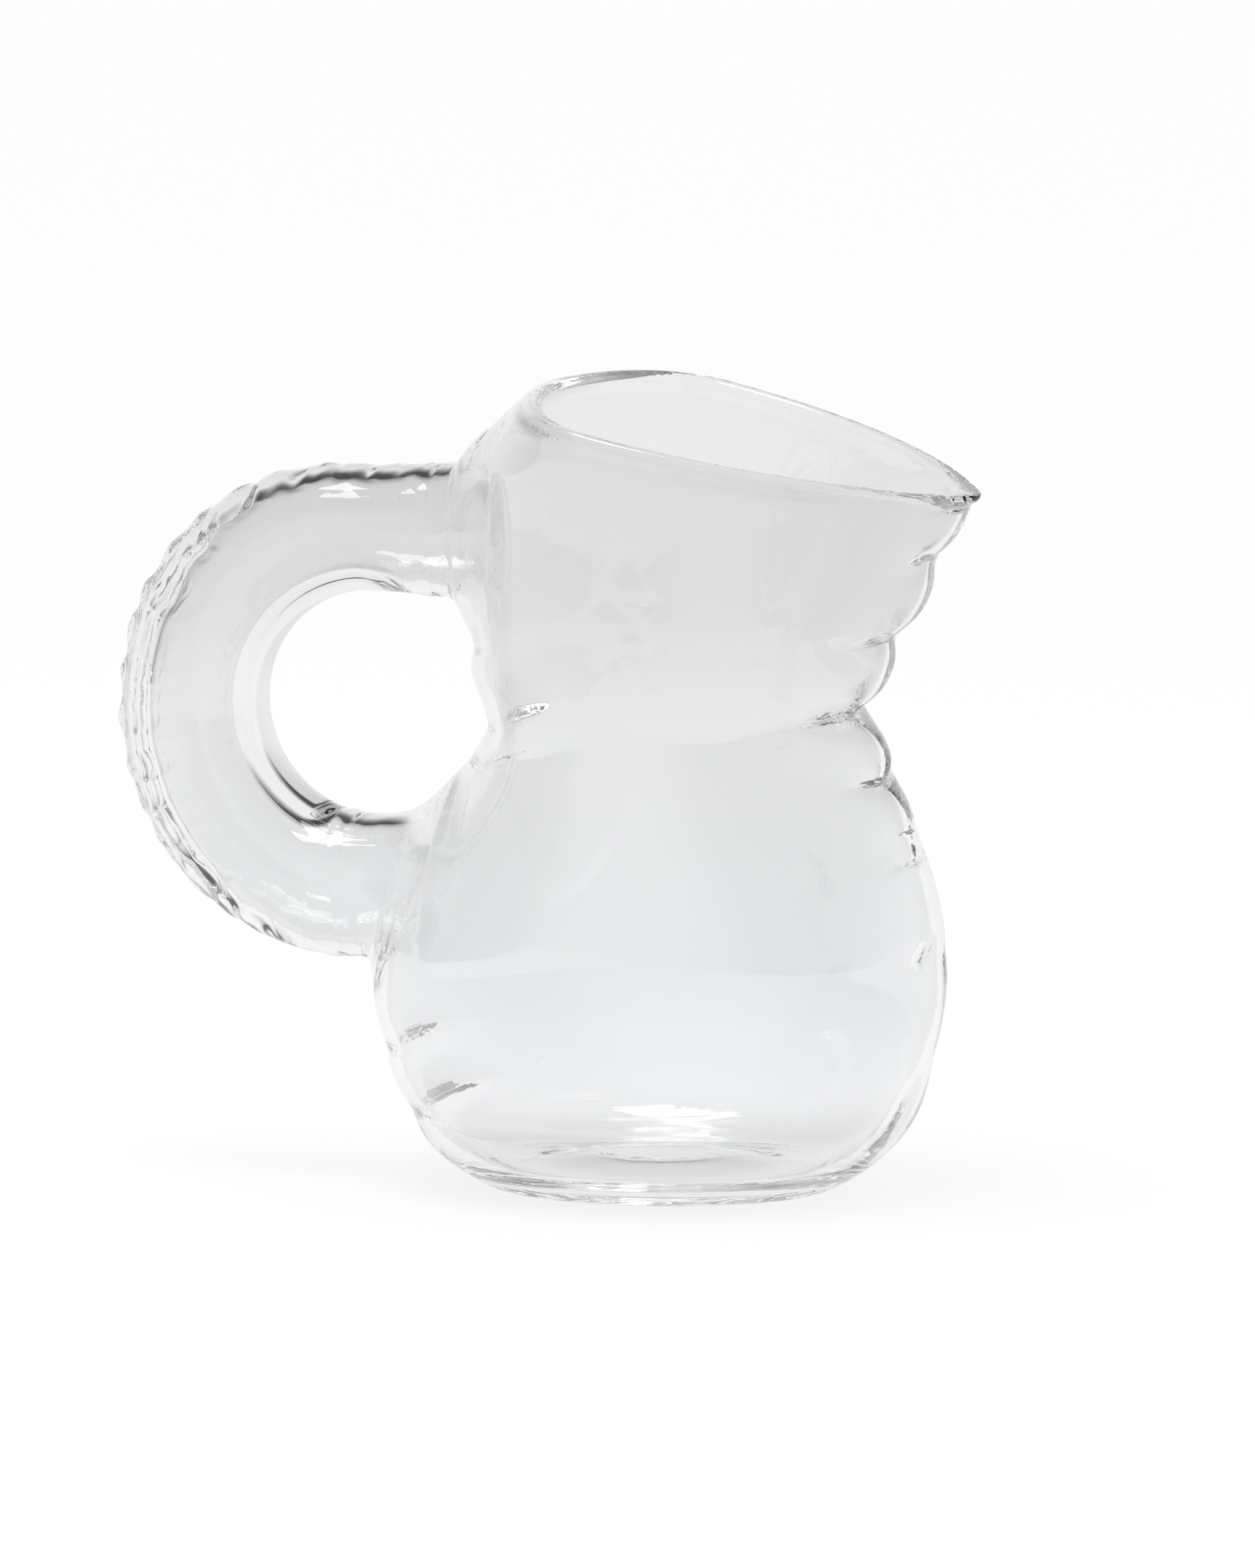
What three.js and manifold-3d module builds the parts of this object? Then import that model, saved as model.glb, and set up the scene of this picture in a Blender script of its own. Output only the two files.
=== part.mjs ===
// Blown glass pitcher with a slanted mouth, a fat hollow ring handle and puckered side seams.
// Millimetres, +Z up. The part stands on z = 0, the handle points to -X and the pouring lip to +X,
// and the seam plane is y = 0. Its origin is under the middle of its overall length.
import * as THREE from "three";
import { mergeVertices } from "three/addons/utils/BufferGeometryUtils.js";
import Module from "manifold-3d";

const wasm = await Module();
wasm.setup();

// Glass thicknesses and the clearance left at each fused joint
const WALL = 2.2;
const BASE_THICKNESS = 4.6;
const RIM_BEAD = 3.2;
const FUSE_GAP = 0.3;

// Body on the lip side: reach from the body's own axis along the seam, and height
const FOOT_HALF_WIDTH = 42.5;
const BELLY_LIP_REACH = 68.2;
const BELLY_LIP_HEIGHT = 57.5;
const WAIST_LIP_REACH = 50.2;
const WAIST_LIP_HEIGHT = 115.7;
const LIP_REACH = 81.4;
const LIP_HEIGHT = 170;

// Body on the handle side
const BELLY_BACK_REACH = 70;
const BELLY_BACK_HEIGHT = 46;
const WAIST_BACK_REACH = 40.5;
const WAIST_BACK_HEIGHT = 112.4;
const SHOULDER_REACH = 47.5;
const SHOULDER_HEIGHT = 174.5;
const RIM_BACK_REACH = 27.5;
const RIM_BACK_HEIGHT = 194;

// Body: half depths across the seam plane
const FOOT_HALF_DEPTH = 37;
const BELLY_HALF_DEPTH = 60;
const WAIST_HALF_DEPTH = 54;
const MOUTH_HALF_DEPTH = 57.5;

// Puckers: how far they fade out from the seam, and how sharp the seams are drawn (2 is round, 1 a point).
// On the handle side the seam's edge is rounded off as well, because the necks come out of it.
const LIP_SEAM_REACH = 9;
const BACK_SEAM_REACH = 20;
const WAIST_SEAM_REACH = 22;
const WAIST_BAND = 9;
const ROUND_SEAM = 2;
const SHARP_SEAM = 1.25;
const BACK_SEAM_ROUNDING = 5;

// Base: the push-up under the floor, and the flat ring that it leaves to stand on
const PUSH_UP = 3;
const FOOT_RING = 9;

// Handle: half a ring of hollow tube about the finger hole, with a leg at each end that flares into the body
// and spreads sideways by a share of its own width
const HOLE_CENTRE_X = -75.1;
const HOLE_CENTRE_Z = 112.8;
const RING_RADIUS = 43.5;
const TUBE_RADIUS_TOP = 15.4;
const TUBE_RADIUS_SIDE = 18.8;
const TUBE_RADIUS_BOTTOM = 17.4;
const UPPER_LEG = 44;
const LOWER_LEG = 28;
const LEG_FLARE = 7;
const LEG_SPREAD = 0.25;

// Welds: width along the tube, how proud they stand, and how far each is from its end of the half ring
const WELD_WIDTH = 7;
const WELD_PROUD = 0.7;
const UPPER_WELD_ALONG_LEG = 17;
const LOWER_WELD_BEFORE_LEG = 5;

// Small puckers on the handle's outer seam
const PUCKER_PITCH = 8.5;
const PUCKER_DEPTH = 1.5;
const PUCKER_SPREAD = 0.5;

// Mesh density
const BODY_COLUMNS = 44;
const BODY_ROW_STEP = 5;
const SEAM_CROWDING = 0.26;
const TUBE_SIDES = 16;
const BORE_SIDES = 15;
const TUBE_STEP = 4;
const BEAD_SIDES = 8;
const SPARE = 12;

const GLASS = { color: 0xe9ecec, roughness: 0.03, metalness: 0, transparent: true, opacity: 0.35 };

const { lerp, smoothstep, clamp } = THREE.MathUtils;

// A seam is a chain of round lobes that meet at pinched notches. A notch is given by its share of the way
// up and out between two main points of the outline, and by how far the lobe above it swells past its chord.
function notchesBetween(low, high, notches) {
  return notches.map(([up, out, swell]) => {
    return { z: lerp(low.z, high.z, up), x: lerp(low.x, high.x, out), swell };
  });
}

const foot = { z: 0, x: FOOT_HALF_WIDTH };
const bellyLip = { z: BELLY_LIP_HEIGHT, x: BELLY_LIP_REACH };
const waistLip = { z: WAIST_LIP_HEIGHT, x: WAIST_LIP_REACH };
const lip = { z: LIP_HEIGHT, x: LIP_REACH, swell: 0 };
const pastLip = { z: Math.max(RIM_BACK_HEIGHT, LIP_HEIGHT) + SPARE, x: LIP_REACH + SPARE, swell: 0 };
const lipSeam = [
  ...notchesBetween(foot, bellyLip, [[0, 0, 2.6], [0.23, 0.61, 4.3]]),
  ...notchesBetween(bellyLip, waistLip, [[0, 0, 2.1], [0.39, 0.19, 0.7], [0.52, 0.26, 1.3], [0.73, 0.6, 3]]),
  ...notchesBetween(waistLip, lip, [[0, 0, 2.4], [0.34, 0.3, 2.6], [0.71, 0.61, 1.5], [0.95, 0.87, 0]]),
  lip,
  pastLip,
];

const bellyBack = { z: BELLY_BACK_HEIGHT, x: BELLY_BACK_REACH };
const waistBack = { z: WAIST_BACK_HEIGHT, x: WAIST_BACK_REACH };
const shoulder = { z: SHOULDER_HEIGHT, x: SHOULDER_REACH };
const rimBack = { z: RIM_BACK_HEIGHT, x: RIM_BACK_REACH, swell: 0 };
const pastRim = { z: RIM_BACK_HEIGHT + SPARE, x: RIM_BACK_REACH - SPARE / 2, swell: 0 };
const backSeam = [
  ...notchesBetween(foot, bellyBack, [[0, 0, 5], [0.4, 0.58, 3.2], [0.72, 0.82, 1.2]]),
  ...notchesBetween(bellyBack, waistBack, [[0, 0, 4.5], [0.84, 0.77, 1]]),
  ...notchesBetween(waistBack, shoulder, [[0, 0, 2.4], [0.27, 0.89, 0.4]]),
  ...notchesBetween(shoulder, rimBack, [[0, 0, 2.2]]),
  rimBack,
  pastRim,
];

// A smooth curve through [at, value] pairs
function curveThrough(pairs) {
  const at = pairs.map((pair) => pair[0]);
  const values = pairs.map((pair) => pair[1]);
  const curve = new THREE.CubicInterpolant(at, values, 1, [0]);
  return (where) => curve.evaluate(clamp(where, at[0], at.at(-1)))[0];
}

// The seam's own outline, with its notches
function seamOutline(chain) {
  return (z) => {
    const above = chain.findIndex((notch) => notch.z > z);
    const index = above < 0 ? chain.length - 2 : Math.max(above - 1, 0);
    const low = chain[index];
    const high = chain[index + 1];
    const share = clamp((z - low.z) / (high.z - low.z), 0, 1);
    return lerp(low.x, high.x, share) + 4 * low.swell * share * (1 - share);
  };
}

// The smooth flank beside a seam: a curve over the crests of its lobes
function flankOutline(chain) {
  const crests = chain.slice(0, -1).map((low, i) => {
    const high = chain[i + 1];
    return [(low.z + high.z) / 2, (low.x + high.x) / 2 + low.swell];
  });
  const ends = [chain[0], chain.at(-1)].map((notch) => [notch.z, notch.x]);
  return curveThrough([ends[0], ...crests, ends[1]]);
}

const lipSide = {
  sign: 1,
  seam: seamOutline(lipSeam),
  flank: flankOutline(lipSeam),
  waist: waistLip.z,
  reach: LIP_SEAM_REACH,
  rounding: 0,
};
const backSide = {
  sign: -1,
  seam: seamOutline(backSeam),
  flank: flankOutline(backSeam),
  waist: waistBack.z,
  reach: BACK_SEAM_REACH,
  rounding: BACK_SEAM_ROUNDING,
};
const bellyHeight = (BELLY_LIP_HEIGHT + BELLY_BACK_HEIGHT) / 2;
const waistHeight = (WAIST_LIP_HEIGHT + WAIST_BACK_HEIGHT) / 2;
const halfDepth = curveThrough([
  [0, FOOT_HALF_DEPTH],
  [bellyHeight * 0.12, lerp(FOOT_HALF_DEPTH, BELLY_HALF_DEPTH, 0.42)],
  [bellyHeight * 0.4, lerp(FOOT_HALF_DEPTH, BELLY_HALF_DEPTH, 0.76)],
  [bellyHeight, BELLY_HALF_DEPTH],
  [lerp(bellyHeight, waistHeight, 0.5), lerp(BELLY_HALF_DEPTH, WAIST_HALF_DEPTH, 0.3)],
  [waistHeight, WAIST_HALF_DEPTH],
  [lerp(waistHeight, RIM_BACK_HEIGHT, 0.55), lerp(WAIST_HALF_DEPTH, MOUTH_HALF_DEPTH, 0.6)],
  [RIM_BACK_HEIGHT + SPARE, MOUTH_HALF_DEPTH],
]);

// How pointed the section is at a seam: round on the belly, sharp from the waist up
function seamRoundness(z) {
  return lerp(ROUND_SEAM, SHARP_SEAM, smoothstep(z, bellyHeight, waistHeight));
}

// How far a pucker reaches from its seam: the waist is pinched in much further round than the rest
function seamReach(side, z) {
  const nearWaist = Math.exp(-(((z - side.waist) / WAIST_BAND) ** 2));
  return lerp(side.reach, WAIST_SEAM_REACH, nearWaist);
}

// How much longer a slanted wall's thickness is when it is measured level
function levelShare(outline, z) {
  const rise = 1;
  const low = Math.max(z, rise);
  return Math.hypot(1, (outline(low + rise) - outline(low - rise)) / (2 * rise));
}

// How far a point lies from the seam plane, for its share of the way round from the seam to the widest place
function acrossSeam(share, depth, roundness, rounding) {
  const blunt = (rounding / depth) ** roundness;
  const widest = (1 + (rounding / depth) ** 2) ** (roundness / 2);
  const slant = depth * lerp(blunt, widest, share) ** (1 / roundness);
  return Math.sqrt(Math.max(slant ** 2 - rounding ** 2, 0));
}

// A point of the body's surface, or of a surface inset from it by a glass thickness, at an angle
// round the body's axis (0 at the lip, pi at the handle) and a height
function bodyPoint(angle, z, inset = 0) {
  const side = Math.cos(angle) >= 0 ? lipSide : backSide;
  const depth = halfDepth(z) - inset * levelShare(halfDepth, z);
  const flank = side.flank(z) - inset * levelShare(side.flank, z);
  const across = acrossSeam(Math.sin(angle) ** 2, depth, seamRoundness(z), side.rounding);
  const y = Math.sign(Math.sin(angle)) * across;
  const pucker = (side.seam(z) - side.flank(z)) * Math.exp(-((y / seamReach(side, z)) ** 2));
  return new THREE.Vector3(side.sign * (flank + pucker) * Math.abs(Math.cos(angle)), y, z);
}

// Angles of the body's columns, crowded towards both seams
const columnAngles = Array.from({ length: BODY_COLUMNS }, (_, i) => {
  const even = (2 * Math.PI * i) / BODY_COLUMNS;
  return even - SEAM_CROWDING * Math.sin(2 * even);
});

// Heights of the body's rows: every notch, with even steps between
function rowHeights(from, to) {
  const notches = [...lipSeam, ...backSeam].map((notch) => notch.z);
  const stops = [from, ...notches.filter((z) => z > from + 1.5 && z < to - 1.5), to].sort((a, b) => a - b);
  const kept = stops.filter((z, i) => i === 0 || z - stops[i - 1] > 1.5);
  return kept.flatMap((z, i) => {
    if (i === kept.length - 1) return [z];
    const steps = Math.ceil((kept[i + 1] - z) / BODY_ROW_STEP);
    return Array.from({ length: steps }, (_, k) => lerp(z, kept[i + 1], k / steps));
  });
}

// A closed solid from rings of points, each ring anticlockwise seen from the last ring,
// with a fan over each end about the point given for it, or about the ring's own middle
function loftGeometry(rings, firstTip = middleOf(rings[0]), lastTip = middleOf(rings.at(-1))) {
  const sides = rings[0].length;
  const points = [...rings.flat(), firstTip, lastTip];
  const first = points.length - 2;
  const last = points.length - 1;
  const top = (rings.length - 1) * sides;
  const triangles = [];
  for (let i = 0; i < sides; i++) {
    const next = (i + 1) % sides;
    triangles.push(first, next, i, last, top + i, top + next);
    for (let row = 0; row < rings.length - 1; row++) {
      const low = row * sides;
      const high = low + sides;
      triangles.push(low + i, low + next, high + next, low + i, high + next, high + i);
    }
  }
  return new THREE.BufferGeometry().setFromPoints(points).setIndex(triangles);
}

function middleOf(ring) {
  const sum = ring.reduce((total, point) => total.add(point), new THREE.Vector3());
  return sum.divideScalar(ring.length);
}

// A closed tube from rings that run right round a loop
function loopGeometry(rings) {
  const sides = rings[0].length;
  const triangles = [];
  rings.forEach((_, row) => {
    const low = row * sides;
    const high = ((row + 1) % rings.length) * sides;
    for (let i = 0; i < sides; i++) {
      const next = (i + 1) % sides;
      triangles.push(low + i, low + next, high + next, low + i, high + next, high + i);
    }
  });
  return new THREE.BufferGeometry().setFromPoints(rings.flat()).setIndex(triangles);
}

function solidOf(geometry) {
  const merged = mergeVertices(geometry.index ? geometry : geometry.clone(), 1e-4);
  const vertProperties = new Float32Array(merged.getAttribute("position").array);
  const triVerts = new Uint32Array(merged.index.array);
  return new wasm.Manifold(new wasm.Mesh({ numProp: 3, vertProperties, triVerts }));
}

function geometryOf(solid) {
  const mesh = solid.getMesh();
  const positions = new THREE.BufferAttribute(new Float32Array(mesh.vertProperties), 3);
  const geometry = new THREE.BufferGeometry().setAttribute("position", positions);
  geometry.setIndex(new THREE.BufferAttribute(new Uint32Array(mesh.triVerts), 1));
  return geometry;
}

// Body

function bodySolid(inset, from, to) {
  const rings = rowHeights(from, to).map((z) => columnAngles.map((angle) => bodyPoint(angle, z, inset)));
  return solidOf(loftGeometry(rings));
}

// The mouth is cut on a plane from the back of the rim down to the lip
const rimSlope = (LIP_HEIGHT - RIM_BACK_HEIGHT) / (LIP_REACH + RIM_BACK_REACH);
const rimHeight = (x) => RIM_BACK_HEIGHT + rimSlope * (x + RIM_BACK_REACH);
const rimNormal = new THREE.Vector3(-rimSlope, 0, 1).normalize();

// Everything above the rim plane, lowered by depth along the plane's normal
function aboveRim(depth) {
  const size = 4 * RIM_BACK_HEIGHT;
  const block = new THREE.BoxGeometry(size, size, size).deleteAttribute("normal").deleteAttribute("uv");
  const centre = new THREE.Vector3(0, 0, rimHeight(0)).addScaledVector(rimNormal, size / 2 - depth);
  block.rotateY(-Math.atan(rimSlope)).translate(centre.x, centre.y, centre.z);
  return solidOf(block);
}

// Handle: its centre line runs from the upper leg's tip inside the body, round the half ring, to the lower tip

const ringLength = Math.PI * RING_RADIUS;
const lowerLegStart = UPPER_LEG + ringLength;
const handleLength = lowerLegStart + LOWER_LEG;

// The centre line's point at a distance along it, and the direction there from the finger hole outwards
function handleStation(along) {
  const ringShare = clamp((along - UPPER_LEG) / ringLength, 0, 1);
  const turn = Math.PI * (0.5 + ringShare);
  const outward = new THREE.Vector3(Math.cos(turn), 0, Math.sin(turn));
  const centre = new THREE.Vector3(HOLE_CENTRE_X, 0, HOLE_CENTRE_Z).addScaledVector(outward, RING_RADIUS);
  centre.x += Math.max(UPPER_LEG - along, along - lowerLegStart, 0);
  return { centre, outward };
}

const ringTubeRadius = curveThrough([
  [UPPER_LEG, TUBE_RADIUS_TOP],
  [UPPER_LEG + ringLength / 2, TUBE_RADIUS_SIDE],
  [lowerLegStart, TUBE_RADIUS_BOTTOM],
]);

// How much of its flare a leg has: none where it leaves the ring, all at its tip
function flareShare(along) {
  const upLeg = Math.max(UPPER_LEG - along, 0) / UPPER_LEG;
  const downLeg = Math.max(along - lowerLegStart, 0) / LOWER_LEG;
  return upLeg ** 3 + downLeg ** 3;
}

const tubeRadius = (along) => ringTubeRadius(along) + LEG_FLARE * flareShare(along);

// One ring of points round the tube, which starts at the outer seam
function tubeRing(along, radiusAt, sides) {
  const { centre, outward } = handleStation(along);
  return Array.from({ length: sides }, (_, i) => {
    const round = (2 * Math.PI * i) / sides;
    const radius = radiusAt(along, round);
    const point = centre.clone().addScaledVector(outward, radius * Math.cos(round));
    return point.setY(radius * Math.sin(round) * (1 + LEG_SPREAD * flareShare(along)));
  });
}

function tubeSolid(from, to, step, radiusAt, sides = TUBE_SIDES) {
  const steps = Math.max(2, Math.round((to - from) / step));
  const rings = Array.from({ length: steps + 1 }, (_, i) =>
    tubeRing(lerp(from, to, i / steps), radiusAt, sides),
  );
  return solidOf(loftGeometry(rings));
}

// The bore has an odd number of sides, so a flat and not an edge crosses the seam in the finger hole
function boreSolid(from, to) {
  return tubeSolid(from, to, TUBE_STEP * 1.5, (along) => tubeRadius(along) - WALL, BORE_SIDES);
}

// A length of tube with its bore
function hollowTube(from, to, step, radiusAt) {
  const past = 1;
  return tubeSolid(from, to, step, radiusAt).subtract(boreSolid(from - past, to + past));
}

// Along the centre line the joints are: stub, gap, weld, gap, handle tube, gap, weld, gap, stub.
// The gap is widened for the finger hole side, where the ring is tightest.
const jointGap = (FUSE_GAP * RING_RADIUS) / (RING_RADIUS - TUBE_RADIUS_SIDE);
const upperWeldEnd = UPPER_LEG - UPPER_WELD_ALONG_LEG + WELD_WIDTH / 2;
const upperWeld = [upperWeldEnd - WELD_WIDTH, upperWeldEnd];
const lowerWeldEnd = lowerLegStart - LOWER_WELD_BEFORE_LEG + WELD_WIDTH / 2;
const lowerWeld = [lowerWeldEnd - WELD_WIDTH, lowerWeldEnd];
const upperStub = [0, upperWeld[0] - jointGap];
const lowerStub = [lowerWeld[1] + jointGap, handleLength];
const handleSpan = [upperWeld[1] + jointGap, lowerWeld[0] - jointGap];

// The small puckers are evenly pitched along the handle tube's outer seam, with three rings of points to each
const outerShare = (RING_RADIUS + TUBE_RADIUS_SIDE) / RING_RADIUS;
const puckerCount = Math.round(((handleSpan[1] - handleSpan[0]) * outerShare) / PUCKER_PITCH);
const puckerStep = (handleSpan[1] - handleSpan[0]) / puckerCount;

function puckeredTube(along, round) {
  const dip = 1 - Math.abs(Math.sin((Math.PI * (along - handleSpan[0])) / puckerStep));
  const fromSeam = Math.min(round, 2 * Math.PI - round);
  return tubeRadius(along) - PUCKER_DEPTH * dip * Math.exp(-((fromSeam / PUCKER_SPREAD) ** 2));
}

const proudTube = (along) => tubeRadius(along) + WELD_PROUD;

// Vessel wall: the blown bubble with its two handle stubs, open at the foot and cut off at the rim
function vesselWall() {
  const top = Math.max(RIM_BACK_HEIGHT, LIP_HEIGHT) + SPARE / 2;
  const outside = bodySolid(0, 0, top)
    .add(tubeSolid(...upperStub, TUBE_STEP, tubeRadius))
    .add(tubeSolid(...lowerStub, TUBE_STEP, tubeRadius));
  const inside = bodySolid(WALL, -SPARE / 4, top + SPARE / 4)
    .add(boreSolid(upperStub[0], upperStub[1] + 1))
    .add(boreSolid(lowerStub[0] - 1, lowerStub[1]));
  return geometryOf(outside.subtract(inside).subtract(aboveRim(RIM_BEAD + FUSE_GAP)));
}

// Base disc: a thick floor that fits the wall's inside, pushed up in the middle to leave a foot ring
function baseDisc() {
  const footEdge = columnAngles.map((angle) => bodyPoint(angle, 0));
  const plateRing = (margin, z) =>
    footEdge.map((point) => point.clone().setLength(point.length() - margin).setZ(z));
  const plate = loftGeometry([
    plateRing(FOOT_RING + PUSH_UP, PUSH_UP),
    plateRing(FOOT_RING, 0),
    plateRing(-SPARE, 0),
    plateRing(-SPARE, BASE_THICKNESS),
    plateRing(FOOT_RING, BASE_THICKNESS),
    plateRing(FOOT_RING + PUSH_UP, BASE_THICKNESS + PUSH_UP),
  ]);
  const inside = bodySolid(WALL + FUSE_GAP, -SPARE / 4, bellyHeight);
  return geometryOf(solidOf(plate).intersect(inside));
}

// Rim bead: the fire-polished edge that runs right round the mouth, in even steps so that it stays
// clear of itself at the lip
function rimBead() {
  const radius = RIM_BEAD / 2;
  const rings = columnAngles.map((_, step) => {
    const angle = (2 * Math.PI * step) / BODY_COLUMNS;
    let z = rimHeight(0);
    for (let i = 0; i < 12; i++) z = rimHeight(bodyPoint(angle, z, WALL / 2).x);
    const turn = 0.05;
    const along = bodyPoint(angle + turn, z).sub(bodyPoint(angle - turn, z));
    const outward = along.cross(rimNormal).normalize();
    const centre = bodyPoint(angle, z, WALL / 2).addScaledVector(rimNormal, -radius);
    return Array.from({ length: BEAD_SIDES }, (_, i) => {
      const round = (-2 * Math.PI * i) / BEAD_SIDES;
      const point = centre.clone().addScaledVector(outward, radius * Math.cos(round));
      return point.addScaledVector(rimNormal, radius * Math.sin(round));
    });
  });
  return loopGeometry(rings);
}

const pitcher = new THREE.Group();
const handleReach = HOLE_CENTRE_X - RING_RADIUS - TUBE_RADIUS_SIDE;
pitcher.position.x = -(LIP_REACH + handleReach) / 2;

function addPiece(name, geometry) {
  geometry.computeVertexNormals();
  const mesh = new THREE.Mesh(geometry, new THREE.MeshStandardMaterial(GLASS));
  mesh.name = name;
  pitcher.add(mesh);
}

addPiece("vessel_wall", vesselWall());
addPiece("base_disc", baseDisc());
addPiece("rim_bead", rimBead());
addPiece("handle_tube", geometryOf(hollowTube(...handleSpan, puckerStep / 3, puckeredTube)));
addPiece("upper_weld", geometryOf(hollowTube(...upperWeld, TUBE_STEP, proudTube)));
addPiece("lower_weld", geometryOf(hollowTube(...lowerWeld, TUBE_STEP, proudTube)));

export default pitcher;
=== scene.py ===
import math

import bmesh
import bpy
import numpy as np
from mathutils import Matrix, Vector


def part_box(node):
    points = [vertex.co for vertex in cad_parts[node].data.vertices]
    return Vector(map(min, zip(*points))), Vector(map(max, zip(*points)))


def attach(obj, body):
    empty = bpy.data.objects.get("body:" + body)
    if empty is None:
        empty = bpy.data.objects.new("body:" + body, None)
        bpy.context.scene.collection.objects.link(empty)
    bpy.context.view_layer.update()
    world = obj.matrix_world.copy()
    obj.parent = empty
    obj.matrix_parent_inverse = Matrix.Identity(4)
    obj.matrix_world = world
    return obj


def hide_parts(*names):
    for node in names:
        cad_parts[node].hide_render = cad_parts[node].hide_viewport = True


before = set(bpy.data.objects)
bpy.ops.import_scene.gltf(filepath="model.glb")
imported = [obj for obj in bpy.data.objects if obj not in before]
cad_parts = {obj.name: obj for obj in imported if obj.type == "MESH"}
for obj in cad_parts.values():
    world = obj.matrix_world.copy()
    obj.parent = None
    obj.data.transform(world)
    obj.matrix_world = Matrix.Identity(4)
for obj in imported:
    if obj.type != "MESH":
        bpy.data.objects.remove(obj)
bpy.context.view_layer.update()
scene = bpy.context.scene
scene.view_settings.view_transform = "Standard"

# Camera
# The photograph was taken with a very long lens, a little above the pitcher and
# turned towards the lip side, so that the far rim shows above the near one.
MM = 0.001
PHOTO_HEIGHT = 2156
MM_PER_PIXEL = 0.1745
SENSOR_SIZE = 36
VIEW_TURN = math.radians(18)
VIEW_RISE = math.radians(7.9)
CAMERA_DISTANCE = 6.0
AIM_POINT = (20.64 * MM, -2.54 * MM, 96.96 * MM)

camera_data = bpy.data.cameras.new("photo_camera")
camera_data.sensor_width = SENSOR_SIZE
camera_data.lens = SENSOR_SIZE * CAMERA_DISTANCE / (MM_PER_PIXEL * MM * PHOTO_HEIGHT)
camera = bpy.data.objects.new("photo_camera", camera_data)
scene.collection.objects.link(camera)
scene.camera = camera
camera.rotation_euler = (math.pi / 2 - VIEW_RISE, 0, VIEW_TURN)
camera.location = (
    AIM_POINT[0] + CAMERA_DISTANCE * math.sin(VIEW_TURN) * math.cos(VIEW_RISE),
    AIM_POINT[1] - CAMERA_DISTANCE * math.cos(VIEW_TURN) * math.cos(VIEW_RISE),
    AIM_POINT[2] + CAMERA_DISTANCE * math.sin(VIEW_RISE),
)

# Clear glass
# One melt of clear, nearly colourless glass for every piece. Blowing leaves long
# soft ripples in it, and the hot working leaves short fine streaks.
GLASS_IOR = 1.47
STREAK_STRETCH = (190, 190, 40)
SHADE_BAND_SCALE, SHADE_BAND_WANDER = 45, 0.02
DEEP_GLASS, DEEP_FROM = (0.66, 0.675, 0.675, 1), 0.62
# Height on the pitcher in metres, and the colour of the glass there: its pale tint with painted shade,
# greyer towards the rim and whiter near the foot
GLASS_SHADE_LEVELS = [
    (0.0, (0.97, 0.972, 0.975)),
    (0.035, (0.945, 0.949, 0.955)),
    (0.062, (0.895, 0.901, 0.907)),
    (0.11, (0.902, 0.905, 0.909)),
    (0.15, (0.858, 0.86, 0.863)),
    (0.2, (0.85, 0.852, 0.855)),
]
TOP_SHADE_LEVEL = GLASS_SHADE_LEVELS[-1][0]


def put(tree, socket, value):
    if isinstance(value, bpy.types.NodeSocket):
        tree.links.new(value, socket)
    else:
        socket.default_value = value


def maths(tree, operation, *values):
    node = tree.nodes.new("ShaderNodeMath")
    node.operation = operation
    for socket, value in zip(node.inputs, values):
        put(tree, socket, value)
    return node.outputs[0]


def eased(tree, value, low, high, at_low=0.0, at_high=1.0):
    node = tree.nodes.new("ShaderNodeMapRange")
    node.interpolation_type = "SMOOTHSTEP"
    settings = {"Value": value, "From Min": low, "From Max": high, "To Min": at_low, "To Max": at_high}
    for name, setting in settings.items():
        put(tree, node.inputs[name], setting)
    return node.outputs["Result"]


ripple_group = bpy.data.node_groups.new("blown_glass_ripple_and_shade", "ShaderNodeTree")
for name, direction, kind in (
    ("Ripple Scale", "INPUT", "NodeSocketFloat"),
    ("Streak Share", "INPUT", "NodeSocketFloat"),
    ("Height", "OUTPUT", "NodeSocketFloat"),
    ("Tint", "OUTPUT", "NodeSocketColor"),
):
    ripple_group.interface.new_socket(name, in_out=direction, socket_type=kind)


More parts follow.
